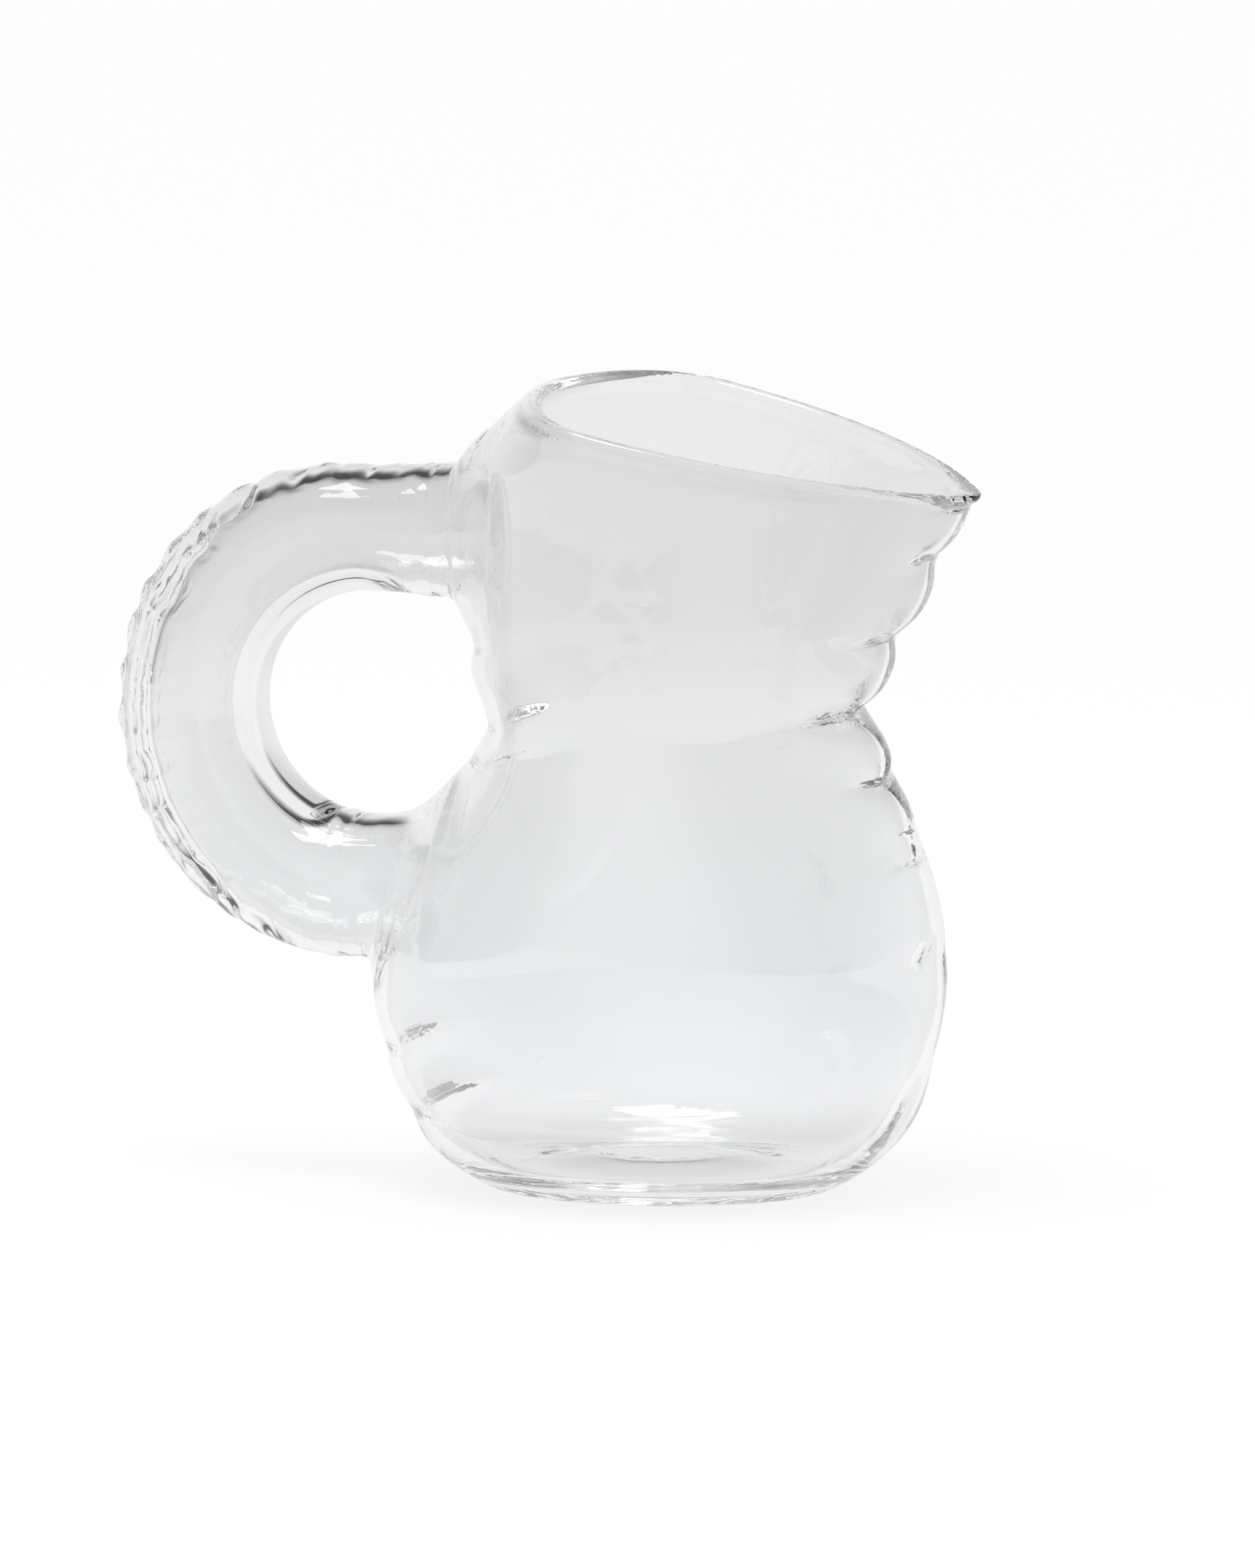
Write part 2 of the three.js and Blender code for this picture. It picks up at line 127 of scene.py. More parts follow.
def ripple_nodes(group):
    nodes, links = group.nodes, group.links
    given = nodes.new("NodeGroupInput").outputs
    result = nodes.new("NodeGroupOutput").inputs
    place = nodes.new("ShaderNodeTexCoord").outputs["Object"]
    long_ripple = nodes.new("ShaderNodeTexNoise")
    long_ripple.inputs["Detail"].default_value = 1.5
    links.new(place, long_ripple.inputs["Vector"])
    links.new(given["Ripple Scale"], long_ripple.inputs["Scale"])
    stretch = nodes.new("ShaderNodeMapping")
    stretch.inputs["Scale"].default_value = STREAK_STRETCH
    links.new(place, stretch.inputs["Vector"])
    streak = nodes.new("ShaderNodeTexNoise")
    streak.inputs["Scale"].default_value = 1
    streak.inputs["Detail"].default_value = 2
    links.new(stretch.outputs["Vector"], streak.inputs["Vector"])
    short_streak = maths(group, "MULTIPLY", streak.outputs["Fac"], given["Streak Share"])
    links.new(maths(group, "ADD", long_ripple.outputs["Fac"], short_streak), result["Height"])

    # Painted shade in the glass colour: greyer towards the rim and whiter near the foot, in faint level
    # bands
    axes = nodes.new("ShaderNodeSeparateXYZ")
    links.new(place, axes.inputs[0])
    band = nodes.new("ShaderNodeTexNoise")
    band.noise_dimensions = "1D"
    band.inputs["Scale"].default_value = SHADE_BAND_SCALE
    links.new(axes.outputs["Z"], band.inputs["W"])
    uneven_shade_level = maths(group, "MULTIPLY_ADD", band.outputs["Fac"], SHADE_BAND_WANDER, axes.outputs["Z"])
    climb = nodes.new("ShaderNodeMapRange")
    climb.inputs["From Max"].default_value = TOP_SHADE_LEVEL
    links.new(uneven_shade_level, climb.inputs["Value"])
    shade_tint = nodes.new("ShaderNodeValToRGB")
    shade_tint.color_ramp.interpolation = "EASE"
    stops = shade_tint.color_ramp.elements
    for height, colour in GLASS_SHADE_LEVELS[1:-1]:
        stops.new(height / TOP_SHADE_LEVEL).color = (*colour, 1)
    stops[0].color = (*GLASS_SHADE_LEVELS[0][1], 1)
    stops[-1].color = (*GLASS_SHADE_LEVELS[-1][1], 1)
    links.new(climb.outputs["Result"], shade_tint.inputs["Fac"])
    links.new(shade_tint.outputs["Color"], result["Tint"])


ripple_nodes(ripple_group)


def clear_glass(name, ripple_scale, streak_share, depth):
    material = bpy.data.materials.new(name)
    material.use_nodes = True
    tree = material.node_tree
    nodes, links = tree.nodes, tree.links
    glass = nodes["Principled BSDF"]
    glass.inputs["Roughness"].default_value = 0.0
    glass.inputs["IOR"].default_value = GLASS_IOR
    glass.inputs["Transmission Weight"].default_value = 1.0
    ripple = nodes.new("ShaderNodeGroup")
    ripple.node_tree = ripple_group
    ripple.inputs["Ripple Scale"].default_value = ripple_scale
    ripple.inputs["Streak Share"].default_value = streak_share
    bump = nodes.new("ShaderNodeBump")
    bump.inputs["Distance"].default_value = depth
    bump.inputs["Strength"].default_value = 1.0
    links.new(ripple.outputs["Height"], bump.inputs["Height"])
    links.new(bump.outputs["Normal"], glass.inputs["Normal"])

    # Seen at a glance along its wall, the glass is deeper and so darker
    glance = nodes.new("ShaderNodeLayerWeight")
    glance.inputs["Blend"].default_value = 0.5
    deepen = nodes.new("ShaderNodeMix")
    deepen.data_type = "RGBA"
    deepen.blend_type = "MULTIPLY"
    share, shaded_tint, deep_tint = (deepen.inputs[i] for i in (0, 6, 7))
    links.new(eased(tree, glance.outputs["Facing"], DEEP_FROM, 1.0), share)
    # The base colour carries the painted shade by height, greyer towards the rim and whiter near the foot
    links.new(ripple.outputs["Tint"], shaded_tint)
    deep_tint.default_value = DEEP_GLASS
    links.new(deepen.outputs[2], glass.inputs["Base Color"])
    return material


# Where two pieces are fused, light goes straight from one into the other
fused_joint = bpy.data.materials.new("fused_joint")
fused_joint.use_nodes = True
joint_glass = fused_joint.node_tree.nodes["Principled BSDF"]
joint_glass.inputs["Base Color"].default_value = (1, 1, 1, 1)
joint_glass.inputs["Roughness"].default_value = 0.0
joint_glass.inputs["IOR"].default_value = 1.0
joint_glass.inputs["Transmission Weight"].default_value = 1.0

# Vessel
# The blown bubble with its thick pushed-up base, its fire-polished rim and the two
# necks that the handle is fused to. It is one skin of glass, so it is one closed
# surface, worked out from a field that is negative inside the glass (millimetres).
base_low, base_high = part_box("base_disc")
BODY_AXIS_X = (base_low[0] + base_high[0]) / 2 / MM
WALL_THICKNESS = 3.0
RIM_EXTRA, LIP_EXTRA, RIM_SWELL, RIM_ROUNDING = 1.2, -0.6, 0.4, 3.0
RIM_BAND = 4.0
LIP_STARTS, LIP_FULL = 0.6, 0.9
FOOT_EXTRA, FOOT_BAND = 1.2, 14.0

FOOT_HALF_WIDTH, FOOT_HALF_DEPTH = 42.5, 37.0
# Height and reach from the body's axis
BELLY_LIP, BELLY_BACK = (57.5, 68.2), (46.0, 70.0)
WAIST_LIP, WAIST_BACK = (115.7, 50.2), (112.4, 40.5)
LIP, RIM_BACK, SHOULDER = (170.0, 81.4), (194.0, 27.5), (174.5, 47.5)
BELLY_HALF_DEPTH, WAIST_HALF_DEPTH, MOUTH_HALF_DEPTH = 60.0, 54.0, 57.5
SPARE = 12.0
LIP_SEAM_REACH, BACK_SEAM_REACH, WAIST_SEAM_REACH, WAIST_BAND = 9.0, 25.0, 22.0, 9.0
ROUND_SEAM, SHARP_SEAM = 2.0, 1.25
LIP_SEAM_ROUNDING, BACK_SEAM_ROUNDING = 3.0, 5.0
PUSH_UP, PUSH_UP_RADIUS, FLOOR_HEIGHT = 3.0, 34.0, 4.6
PUSH_UP_EDGE, PUSH_UP_CROWN, FLOOR_LIFT = 1.0, 0.4, 0.8
FLOOR_ROUNDING, FOOT_ROUNDING = 5.0, 1.2

HOLE_CENTRE = (-75.1, 112.8)
RING_RADIUS = 43.5
TUBE_TOP, TUBE_SIDE, TUBE_BOTTOM = 15.4, 18.8, 17.4
UPPER_LEG, LOWER_LEG, LEG_FLARE, LEG_SPREAD = 44.0, 28.0, 7.0, 0.25
WELD_WIDTH, UPPER_WELD_ALONG, LOWER_WELD_BEFORE = 7.0, 17.0, 5.0
UPPER_NECK_BLEND, LOWER_NECK_BLEND, NECK_BLEND_RUN, LEAST_BLEND = 12.0, 11.0, 9.0, 0.05
HAIRLINE = 0.03
RING_LENGTH = math.pi * RING_RADIUS
LOWER_LEG_START = UPPER_LEG + RING_LENGTH
UPPER_WELD_END = UPPER_LEG - UPPER_WELD_ALONG + WELD_WIDTH / 2
LOWER_WELD_END = LOWER_LEG_START - LOWER_WELD_BEFORE + WELD_WIDTH / 2


def mix(low, high, share):
    return low + (high - low) * share


def smooth_step(value, low, high):
    share = np.clip((value - low) / (high - low), 0, 1)
    return share * share * (3 - 2 * share)


def smooth_curve(pairs):
    at, values = (np.array(row, float) for row in zip(*pairs))
    slopes = np.gradient(values, at)

    def curve(where):
        where = np.clip(where, at[0], at[-1])
        i = np.clip(np.searchsorted(at, where, side="right") - 1, 0, len(at) - 2)
        width = at[i + 1] - at[i]
        t = (where - at[i]) / width
        rise = values[i + 1] - values[i]
        ends = (2 * t**3 - 3 * t**2) * -rise
        bend = (t**3 - 2 * t**2 + t) * slopes[i] + (t**3 - t**2) * slopes[i + 1]
        return values[i] + ends + width * bend

    return curve


def notches(low, high, shares):
    return [(mix(low[0], high[0], up), mix(low[1], high[1], out), swell) for up, out, swell in shares]


# Each seam is a chain of notches, with a swell of the wall from each to the next:
# (share of the way up, share of the way out, swell)
FOOT = (0.0, FOOT_HALF_WIDTH)
LIP_SEAM = [
    *notches(FOOT, BELLY_LIP, [(0, 0, 2.6), (0.23, 0.61, 4.3)]),
    *notches(BELLY_LIP, WAIST_LIP, [(0, 0, 2.1), (0.39, 0.19, 0.7), (0.52, 0.26, 1.3), (0.73, 0.6, 3)]),
    *notches(WAIST_LIP, LIP, [(0, 0, 2.4), (0.34, 0.3, 2.6), (0.71, 0.61, 1.5), (0.95, 0.87, 0)]),
    (*LIP, 0),
    (RIM_BACK[0] + SPARE, LIP[1] + SPARE, 0),
]
BACK_SEAM = [
    *notches(FOOT, BELLY_BACK, [(0, 0, 5), (0.4, 0.58, 3.2), (0.72, 0.82, 1.2)]),
    *notches(BELLY_BACK, WAIST_BACK, [(0, 0, 4.5), (0.84, 0.77, 1)]),
    *notches(WAIST_BACK, SHOULDER, [(0, 0, 2.4), (0.27, 0.89, 0.4)]),
    *notches(SHOULDER, RIM_BACK, [(0, 0, 2.2)]),
    (*RIM_BACK, 0),
    (RIM_BACK[0] + SPARE, RIM_BACK[1] - SPARE / 2, 0),
]


def seam_outline(chain):
    at, reach, swell = (np.array(row, float) for row in zip(*chain))

    def outline(z):
        i = np.clip(np.searchsorted(at, z, side="right") - 1, 0, len(at) - 2)
        share = np.clip((z - at[i]) / (at[i + 1] - at[i]), 0, 1)
        return mix(reach[i], reach[i + 1], share) + swell[i] * (4 * share * (1 - share))

    return outline


def flank_outline(chain):
    crests = [
        ((low[0] + high[0]) / 2, (low[1] + high[1]) / 2 + low[2])
        for low, high in zip(chain, chain[1:])
    ]
    return smooth_curve([chain[0][:2], *crests, chain[-1][:2]])


lip_seam, lip_flank = seam_outline(LIP_SEAM), flank_outline(LIP_SEAM)
back_seam, back_flank = seam_outline(BACK_SEAM), flank_outline(BACK_SEAM)
BELLY_HEIGHT = (BELLY_LIP[0] + BELLY_BACK[0]) / 2
WAIST_HEIGHT = (WAIST_LIP[0] + WAIST_BACK[0]) / 2
half_depth = smooth_curve([
    (0, FOOT_HALF_DEPTH),
    (BELLY_HEIGHT * 0.12, mix(FOOT_HALF_DEPTH, BELLY_HALF_DEPTH, 0.42)),
    (BELLY_HEIGHT * 0.4, mix(FOOT_HALF_DEPTH, BELLY_HALF_DEPTH, 0.76)),
    (BELLY_HEIGHT, BELLY_HALF_DEPTH),
    (mix(BELLY_HEIGHT, WAIST_HEIGHT, 0.5), mix(BELLY_HALF_DEPTH, WAIST_HALF_DEPTH, 0.3)),
    (WAIST_HEIGHT, WAIST_HALF_DEPTH),
    (mix(WAIST_HEIGHT, RIM_BACK[0], 0.55), mix(WAIST_HALF_DEPTH, MOUTH_HALF_DEPTH, 0.6)),
    (RIM_BACK[0] + SPARE, MOUTH_HALF_DEPTH),
])

RIM_SLOPE = (LIP[0] - RIM_BACK[0]) / (LIP[1] + RIM_BACK[1])


def above_rim(x, z):
    level = RIM_BACK[0] + RIM_SLOPE * (x + RIM_BACK[1])
    return (z - level) / math.hypot(1, RIM_SLOPE)


# Each pinch of a seam throws a short fold round the wall on both sides of it:
# (height, how far it starts from the seam, length, width, depth, climb per millimetre)
LIP_FOLDS = [
    (153, 3, 10, 4.6, 0.8, -0.15),
    (134.5, 4, 13, 4.8, 1.3, 0.05),
    (127, 11, 7, 4.0, 0.5, 0.4),
    (115.5, 6, 16, 5.0, 1.6, 0.1),
    (99.5, 3, 11, 4.6, 0.9, 0.05),
    (84, 3, 11, 4.6, 0.8, -0.05),
    (57.5, 3, 12, 4.8, 0.9, 0.0),
]
BACK_FOLDS = [
    (186, 8, 12, 4.6, 0.7, -0.5),
    (176, 5, 12, 4.6, 0.5, 0.2),
    (129.2, 6, 12, 5.5, 1.0, 0.1),
    (112.4, 4, 18, 7.5, 1.1, 0.2),
    (101.8, 6, 15, 5.5, 1.0, 0.25),
    (46, 0, 10, 4.4, 0.3, 0.0),
    (33, 0, 11, 5.0, 0.35, 0.2),
    (18.5, 0, 11, 5.0, 0.35, 0.2),
]
FOLDS_START, FOLDS_FULL = 12, 26


def fold_depth(folds, y, z):
    total = np.zeros_like(z)
    away = np.abs(y)
    for height, start, length, width, depth, climb in folds:
        off = (z - height - climb * away) / width
        run = np.exp(-(((away - start) / length) ** 2))
        total += depth * run * (1 - 0.5 * off**2) * np.exp(-(off**2))
    return total


def folds_at(x, y, z):
    folds = np.where(x >= 0, fold_depth(LIP_FOLDS, y, z), fold_depth(BACK_FOLDS, y, z))
    return folds * smooth_step(np.abs(x), FOLDS_START, FOLDS_FULL)


def body_shape(x, y, z):
    lip_side = x >= 0
    seam = np.where(lip_side, lip_seam(z), back_seam(z))
    flank = np.where(lip_side, lip_flank(z), back_flank(z))
    waist = np.where(lip_side, WAIST_LIP[0], WAIST_BACK[0])
    reach = np.where(lip_side, LIP_SEAM_REACH, BACK_SEAM_REACH)
    reach = mix(reach, WAIST_SEAM_REACH, np.exp(-(((z - waist) / WAIST_BAND) ** 2)))
    width = flank + (seam - flank) * np.exp(-((y / reach) ** 2))
    roundness = mix(ROUND_SEAM, SHARP_SEAM, smooth_step(z, BELLY_HEIGHT, WAIST_HEIGHT))
    rounding = np.where(lip_side, LIP_SEAM_ROUNDING, BACK_SEAM_ROUNDING)
    depth = half_depth(z)
    blunt = (rounding / depth) ** roundness
    widest = (1 + (rounding / depth) ** 2) ** (roundness / 2)
    across = ((np.sqrt(y * y + rounding**2) / depth) ** roundness - blunt) / (widest - blunt)
    return np.sqrt((x / width) ** 2 + across) - 1


def body_distance(x, y, z):
    nudge = 0.5
    shape = body_shape(x, y, z)
    slope = np.sqrt(
        (body_shape(x + nudge, y, z) - body_shape(x - nudge, y, z)) ** 2
        + (body_shape(x, y + nudge, z) - body_shape(x, y - nudge, z)) ** 2
        + (body_shape(x, y, z + nudge) - body_shape(x, y, z - nudge)) ** 2
    ) / (2 * nudge)
    return shape / np.maximum(slope, 1e-3) + folds_at(x, y, z)


# The handle's tube as the necks see it: distance from its side, and how far past
# the end of the neck a point is, towards the handle
def tube_distance(x, y, z):
    out_x, out_z = x - HOLE_CENTRE[0], z - HOLE_CENTRE[1]
    on_leg = np.maximum(out_x, 0)
    ring = np.hypot(np.minimum(out_x, 0), out_z) - RING_RADIUS
    share = np.abs(np.arctan2(np.minimum(out_x, 0), out_z)) / math.pi
    radius = TUBE_TOP * (1 - share) * (1 - 2 * share) + TUBE_SIDE * 4 * share * (1 - share)
    radius = radius + TUBE_BOTTOM * share * (2 * share - 1)
    leg = np.where(out_z >= 0, UPPER_LEG, LOWER_LEG)
    flare = np.minimum(on_leg / leg, 1) ** 3
    radius = radius + LEG_FLARE * flare
    aside = y / (1 + LEG_SPREAD * flare)
    end = np.where(out_z >= 0, UPPER_WELD_ALONG, -LOWER_WELD_BEFORE) + WELD_WIDTH / 2
    along = np.where(out_x >= 0, out_x, -np.abs(share - (out_z < 0)) * RING_LENGTH)
    past_end = end + HAIRLINE - along
    past_tip = np.maximum(out_x - leg, 0)
    widening = 3 * LEG_FLARE * np.minimum(on_leg / leg, 1) ** 2 / leg
    distance = np.sqrt(aside * aside + ring * ring + past_tip * past_tip) - radius
    return distance / np.sqrt(1 + widening**2), past_end


def smooth_min(a, b, blend):
    share = np.clip(0.5 + 0.5 * (b - a) / blend, 0, 1)
    return mix(b, a, share) - blend * share * (1 - share)


def smooth_max(a, b, blend):
    return -smooth_min(-a, -b, blend)


def vessel_field(x, y, z):
    body = body_distance(x, y, z)
    tube, past_end = tube_distance(x, y, z)
    rim = above_rim(x, z)
    near_rim = np.exp(-((rim / RIM_BAND) ** 2))
    near_lip = smooth_step(x, LIP_STARTS * LIP[1], LIP_FULL * LIP[1])
    wall = WALL_THICKNESS + mix(RIM_EXTRA, LIP_EXTRA, near_lip) * near_rim
    wall = wall + FOOT_EXTRA * np.exp(-((z / FOOT_BAND) ** 2))
    neck_blend = np.where(z > HOLE_CENTRE[1], UPPER_NECK_BLEND, LOWER_NECK_BLEND)
    neck_blend = np.maximum(neck_blend * smooth_step(-past_end, 0, NECK_BLEND_RUN), LEAST_BLEND)
    outside = np.maximum(smooth_min(body - RIM_SWELL * near_rim, tube, neck_blend), past_end)
    inside = smooth_min(body + wall, tube + WALL_THICKNESS, neck_blend)
    from_centre = np.hypot(x, y * FOOT_HALF_WIDTH / FOOT_HALF_DEPTH) / PUSH_UP_RADIUS
    push_up = PUSH_UP * smooth_step(from_centre, PUSH_UP_EDGE, PUSH_UP_CROWN)
    inside = smooth_max(inside, FLOOR_HEIGHT + push_up * FLOOR_LIFT - z, FLOOR_ROUNDING)
    glass = np.maximum(outside, -inside)
    glass = smooth_max(glass, rim, RIM_ROUNDING)
    return smooth_max(glass, push_up - z, FOOT_ROUNDING)


def slope_of(field, x, y, z):
    nudge = 0.15
    return np.stack([
        field(x + nudge, y, z) - field(x - nudge, y, z),
        field(x, y + nudge, z) - field(x, y - nudge, z),
        field(x, y, z + nudge) - field(x, y, z - nudge),
    ], axis=1) / (2 * nudge)


# The field's skin has one point in each grid cell that it crosses, and one
# four-sided face round each grid edge that it crosses
def skin_of(field, low, high, step):
    axes = [np.arange(a, b + step, step) for a, b in zip(low, high)]
    grid = np.meshgrid(*axes, indexing="ij")
    value = field(*grid)
    cells = tuple(n - 1 for n in value.shape)
    sums, counts = np.zeros((*cells, 3)), np.zeros(cells)
    crossings = []
    for axis in range(3):
        first = [slice(None)] * 3
        second = [slice(None)] * 3
        first[axis], second[axis] = slice(None, -1), slice(1, None)
        a, b = value[tuple(first)], value[tuple(second)]
        crossed = (a < 0) != (b < 0)
        crossings.append((axis, np.argwhere(crossed), a[crossed] < 0))
        share = np.where(crossed, a / np.where(crossed, a - b, 1), 0)
        point = np.stack([g[tuple(first)] for g in grid], axis=-1)
        point[..., axis] += share * step
        others = [i for i in range(3) if i != axis]
        for du in (0, 1):
            for dv in (0, 1):
                cell, edge = [slice(None)] * 3, [slice(None)] * 3
                for other, shift in zip(others, (du, dv)):
                    edge[other] = slice(shift, cells[other] + shift)
                use = crossed[tuple(edge)]
                sums[tuple(cell)] += np.where(use[..., None], point[tuple(edge)], 0)
                counts[tuple(cell)] += use
    held = counts > 0
    index = np.full(cells, -1)
    index[held] = np.arange(held.sum())
    vertices = sums[held] / counts[held][:, None]
    quads = []
    for axis, at, starts_inside in crossings:
        u, v = (axis + 1) % 3, (axis + 2) % 3
        keep = (at[:, u] > 0) & (at[:, v] > 0) & (at[:, u] < cells[u]) & (at[:, v] < cells[v])
        at, starts_inside = at[keep], starts_inside[keep]
        corners = []
        for du, dv in ((-1, -1), (0, -1), (0, 0), (-1, 0)):
            cell = at.copy()
            cell[:, u] += du
            cell[:, v] += dv
            corners.append(index[tuple(cell.T)])
        ring = np.stack(corners, axis=1)
        ring[~starts_inside] = ring[~starts_inside][:, ::-1]
        quads.append(ring)
    return vertices, np.concatenate(quads)


SETTLE_ROUNDS, LONGEST_STEP, LEAST_SLOPE = 3, 0.5, 0.2


def settle(points):
    for _ in range(SETTLE_ROUNDS):
        slope = slope_of(vessel_field, *points.T)
        step = vessel_field(*points.T) / np.maximum((slope**2).sum(axis=1), LEAST_SLOPE)
        points = points - slope * np.clip(step, -LONGEST_STEP, LONGEST_STEP)[:, None]
    return points


GRID_LOW, GRID_HIGH, GRID_STEP = (-84, -65, -3), (88, 65, 200), 1.6
vessel_points, vessel_quads = skin_of(vessel_field, GRID_LOW, GRID_HIGH, GRID_STEP)
vessel_mesh = bpy.data.meshes.new("vessel")
vessel_mesh.from_pydata(settle(vessel_points), [], vessel_quads.tolist())

# The folds and the rim get smaller faces than the rest
FINE_FOLD, FINE_RIM = 0.5, 2.2
finer = bmesh.new()
finer.from_mesh(vessel_mesh)
middles = np.array([face.calc_center_median() for face in finer.faces])
on_fold = np.abs(folds_at(*middles.T)) > FINE_FOLD
on_rim = np.abs(above_rim(middles[:, 0], middles[:, 2])) < FINE_RIM
fine_edges = {
    edge
    for face, fine in zip(finer.faces, on_fold | on_rim) if fine
    for edge in face.edges
}
bmesh.ops.subdivide_edges(finer, edges=list(fine_edges), cuts=1, use_grid_fill=True)
finer.to_mesh(vessel_mesh)
finer.free()

vessel_points = settle(np.array([v.co for v in vessel_mesh.vertices]))
vessel_normals = slope_of(vessel_field, *vessel_points.T)
vessel_normals /= np.linalg.norm(vessel_normals, axis=1)[:, None]


def neck_side(x, y, z):
    return tube_distance(x, y, z)[0]


def neck_end(x, y, z):
    return tube_distance(x, y, z)[1]


# The edges of both neck ends stay crisp, so that the collars meet them cleanly
EDGE_REACH, EDGE_ROUNDS = 0.9 * GRID_STEP, 6
for inset, facing in ((0, 1), (WALL_THICKNESS, -1)):
    near = np.hypot(neck_side(*vessel_points.T) + inset, neck_end(*vessel_points.T)) < EDGE_REACH
    edge_points = vessel_points[near]
    for _ in range(EDGE_ROUNDS):
        for surface, offset in ((neck_side, inset), (neck_end, 0)):
            slope = slope_of(surface, *edge_points.T)
            height = surface(*edge_points.T) + offset
            edge_points = edge_points - slope * (height / (slope**2).sum(axis=1))[:, None]
    vessel_points[near] = edge_points
    vessel_normals[near] = slope_of(neck_side, *edge_points.T) * facing
vessel_mesh.vertices.foreach_set("co", ((vessel_points + (BODY_AXIS_X, 0, 0)) * MM).ravel())
vessel_mesh.polygons.foreach_set("use_smooth", [True] * len(vessel_mesh.polygons))

# The faces of the neck ends are flat joints, and all others are smooth glass
CUT_TOLERANCE = 0.12
corner_points = np.empty(len(vessel_mesh.loops), int)
face_sizes = np.empty(len(vessel_mesh.polygons), int)
vessel_mesh.loops.foreach_get("vertex_index", corner_points)
vessel_mesh.polygons.foreach_get("loop_total", face_sizes)
at_cut = np.abs(neck_end(*vessel_points.T)) < CUT_TOLERANCE
cut_faces = np.logical_and.reduceat(at_cut[corner_points], np.cumsum(face_sizes) - face_sizes)
cut_corners = np.repeat(cut_faces, face_sizes)
corner_normals = vessel_normals[corner_points]
corner_normals[cut_corners] = slope_of(neck_end, *vessel_points[corner_points[cut_corners]].T)
corner_normals /= np.linalg.norm(corner_normals, axis=1)[:, None]
vessel_mesh.normals_split_custom_set(corner_normals)
vessel_glass = clear_glass("vessel_glass", ripple_scale=34, streak_share=0.12, depth=0.00016)
vessel_mesh.materials.append(vessel_glass)
vessel_mesh.materials.append(fused_joint)
vessel_mesh.polygons.foreach_set("material_index", cut_faces.astype(int))
vessel = bpy.data.objects.new("vessel", vessel_mesh)
scene.collection.objects.link(vessel)
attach(vessel, "root")
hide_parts("vessel_wall", "base_disc", "rim_bead")

# Handle and its welds
# A fat hollow tube bent to half a ring, thick and finely puckered along its outer
# seam where it was pinched hot. Each end is fused to a neck by a swollen collar.
# All three come from one tree, which sweeps a hollow section along the same path.
sweep = bpy.data.node_groups.new("hollow_tube_along_handle", "GeometryNodeTree")
sweep.interface.new_socket("Geometry", in_out="OUTPUT", socket_type="NodeSocketGeometry")
SWEEP_INPUTS = {
    name: sweep.interface.new_socket(name, in_out="INPUT", socket_type=kind)
    for name, kind in [
        ("Start", "NodeSocketFloat"),
        ("End", "NodeSocketFloat"),
        ("Rings", "NodeSocketInt"),
        ("Sides", "NodeSocketInt"),
        ("Wall", "NodeSocketFloat"),
        ("Seam Extra Wall", "NodeSocketFloat"),
        ("Hole Extra Wall", "NodeSocketFloat"),
        ("Swell", "NodeSocketFloat"),
        ("End Fade", "NodeSocketFloat"),
        ("Pinch", "NodeSocketFloat"),
        ("Pucker Pitch", "NodeSocketFloat"),
        ("Pucker Depth", "NodeSocketFloat"),
        ("Pucker Spread", "NodeSocketFloat"),
        ("Wander", "NodeSocketFloat"),
        ("Seed", "NodeSocketFloat"),
        ("Glass", "NodeSocketMaterial"),
    ]
}
# Spreads are angles round the tube, in radians from the seam or from the hole side
SEAM_SPREAD, HOLE_SPREAD, SLOW_SPREAD = 0.8, 0.5, 1.2
THICKEST_AT, THICK_RUN, LEAST_THICK = 0.48, 0.26, 0.08
LEAST_PUCKER, PUCKER_VARIETY, SLOW_DEPTH, WALL_VARIETY = 0.4, 1.8, 0.9, 1.1
PINCH_FROM = 0.3
# Each unevenness along the tube: (scale of the noise, its place in the noise)
WANDER_NOISE, PUCKER_NOISE, SLOW_NOISE, WALL_NOISE = (0.07, 0.0), (0.22, 31.0), (0.05, 57.0), (0.13, 83.0)


